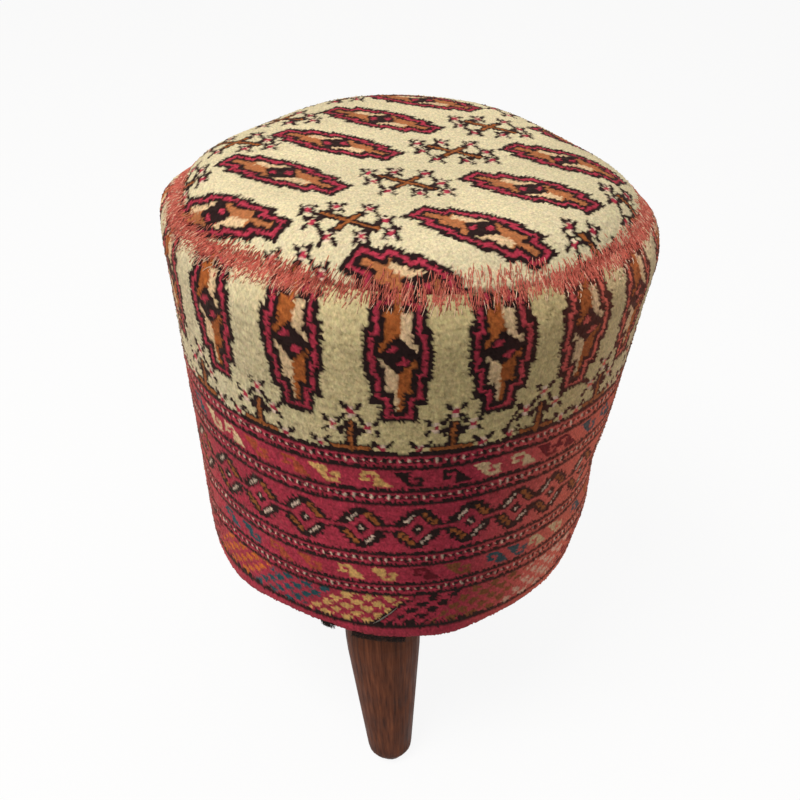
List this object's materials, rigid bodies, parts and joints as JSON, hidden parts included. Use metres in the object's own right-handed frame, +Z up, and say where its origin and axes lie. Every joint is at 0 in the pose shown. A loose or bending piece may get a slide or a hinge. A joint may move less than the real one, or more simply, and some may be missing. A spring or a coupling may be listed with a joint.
{
  "type": "carpet pouf",
  "caption": "Round footstool pouf: a crowned drum covered in knotted pile carpet with an overcast edge seam, on splayed, turned wooden legs.",
  "frame": {"origin": "on the floor, below the middle of the drum", "axes": "+Z up along the drum's axis, -Y towards the front leg, +X to the right as seen from the front"},
  "size_m": [0.3102, 0.3102, 0.4359],
  "materials": {
    "carpet_field": "knotted wool pile, cream ground",
    "carpet_border": "knotted wool pile, crimson borders and cream ground",
    "stitching": "terracotta yarn, overcast",
    "foam": "upholstery foam",
    "felt": "grey felt",
    "plywood": "raw plywood",
    "dust_cloth": "black felted cloth",
    "leg_wood": "walnut, worn satin varnish",
    "steel": "zinc-plated",
    "nylon": "dark nylon"
  },
  "bodies": {
    "root": {"carpet_top": "carpet_field", "carpet_side": "carpet_border", "edge_stitching": "stitching", "seat_foam": "foam", "seat_board": "plywood", "side_padding": "felt", "drum_wall": "plywood", "base_board": "plywood", "dust_cover": "dust_cloth", "leg_front": "leg_wood", "leg_back_right": "leg_wood", "leg_back_left": "leg_wood", "leg_bolt_front": "steel", "leg_bolt_back_right": "steel", "leg_bolt_back_left": "steel", "leg_plate_front": "steel", "leg_plate_back_right": "steel", "leg_plate_back_left": "steel", "plate_screw_front_1": "steel", "plate_screw_front_2": "steel", "plate_screw_front_3": "steel", "plate_screw_front_4": "steel", "plate_screw_back_right_1": "steel", "plate_screw_back_right_2": "steel", "plate_screw_back_right_3": "steel", "plate_screw_back_right_4": "steel", "plate_screw_back_left_1": "steel", "plate_screw_back_left_2": "steel", "plate_screw_back_left_3": "steel", "plate_screw_back_left_4": "steel", "foot_glide_front": "nylon", "foot_glide_back_right": "nylon", "foot_glide_back_left": "nylon"}
  },
  "joints": []
}
